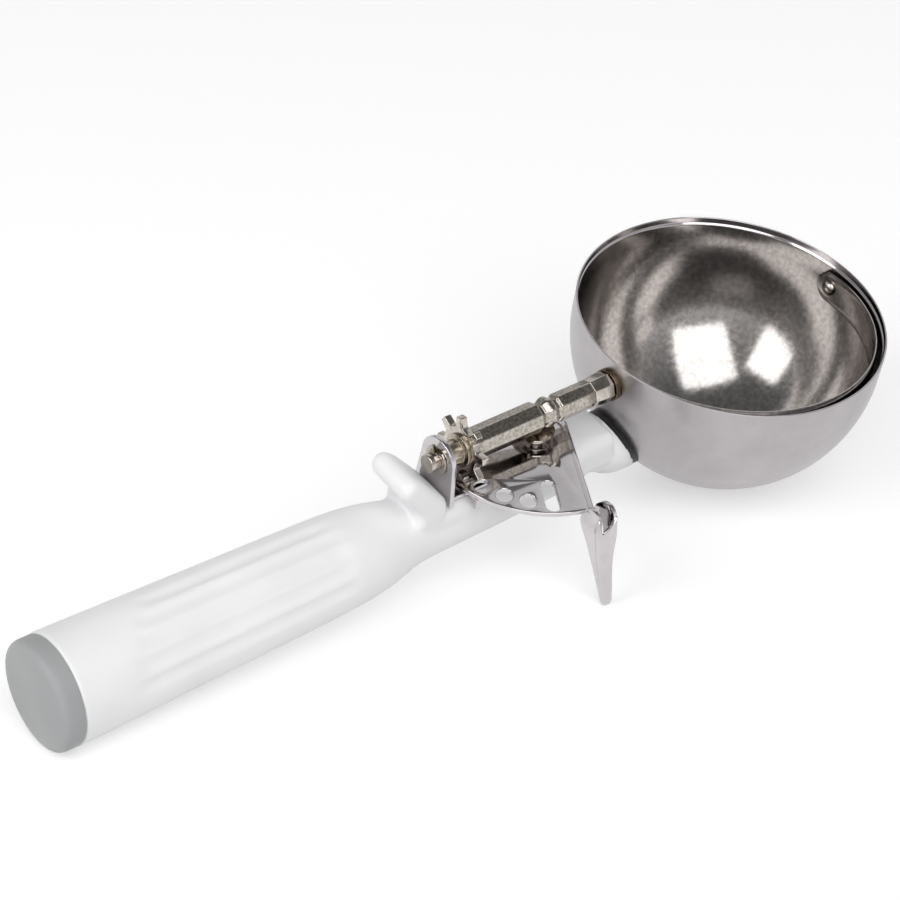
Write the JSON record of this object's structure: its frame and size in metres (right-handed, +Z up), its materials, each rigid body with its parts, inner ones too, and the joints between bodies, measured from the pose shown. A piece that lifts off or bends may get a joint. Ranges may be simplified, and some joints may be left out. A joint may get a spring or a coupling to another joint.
{
  "type": "ice cream scoop",
  "caption": "Thumb-lever ice cream scoop: steel bowl with a sweeping scraper blade, gear shaft, sprung sector lever and a white fluted handle with a guard.",
  "frame": {"origin": "centre of the base of the whole tool's box as it lies on a table", "axes": "+Z up from the table, +X from the handle's end to the bowl, the thumb lever on the -Y side"},
  "size_m": [0.2322, 0.0764, 0.053],
  "materials": {
    "white_moulded_plastic": "satin moulded",
    "grey_moulded_plastic": "satin moulded",
    "satin_stainless": "spun satin",
    "polished_stainless": "polished sheet",
    "nickel_plated_steel": "nickel plated",
    "brass_tinted_bush": "plated, brass showing",
    "black_rubber": "moulded",
    "zinc_plated_steel": "zinc plated"
  },
  "bodies": {
    "root": {"handle_grip": "white_moulded_plastic", "end_cap": "grey_moulded_plastic", "bowl": "satin_stainless", "bowl_gasket": "black_rubber", "bowl_stud": "zinc_plated_steel", "stud_washer": "zinc_plated_steel", "stud_nut": "zinc_plated_steel", "bracket": "polished_stainless", "bracket_rivets": "nickel_plated_steel", "ear_bush": "brass_tinted_bush", "bowl_bush": "brass_tinted_bush", "far_rivet": "nickel_plated_steel", "rivet_washer": "brass_tinted_bush", "pivot_post": "nickel_plated_steel", "spring_keeper": "nickel_plated_steel", "lever_washer": "brass_tinted_bush", "return_spring": "nickel_plated_steel"},
    "scraper": {"scraper_shaft": "nickel_plated_steel", "retaining_clip": "nickel_plated_steel", "gear_collar": "brass_tinted_bush", "drive_gear": "nickel_plated_steel", "gear_sleeve": "nickel_plated_steel", "shaft_tube": "nickel_plated_steel", "ferrule": "nickel_plated_steel", "scraper_blade": "satin_stainless"},
    "lever": {"thumb_lever": "polished_stainless", "lever_bush": "brass_tinted_bush"}
  },
  "joints": [
    {"name": "lever_swing", "type": "hinge", "parent": "root", "child": "lever", "pos_m": [0.01733, 0.00182, 0.02911], "axis": [-0.0336, -0.2246, 0.9739], "range_deg": [-50, 0], "stiffness_Nm_per_rad": 0.03, "springref_deg": 28.65, "deforming": ["return_spring"]},
    {"name": "scraper_turn", "type": "hinge", "parent": "root", "child": "scraper", "pos_m": [0.07706, 0.00024, 0.038], "axis": [0.9994, 0, 0.0345], "range_deg": [0, 160]}
  ],
  "couplings": [
    {"joint": "scraper_turn", "follows": "lever_swing", "ratio": -3.2}
  ]
}
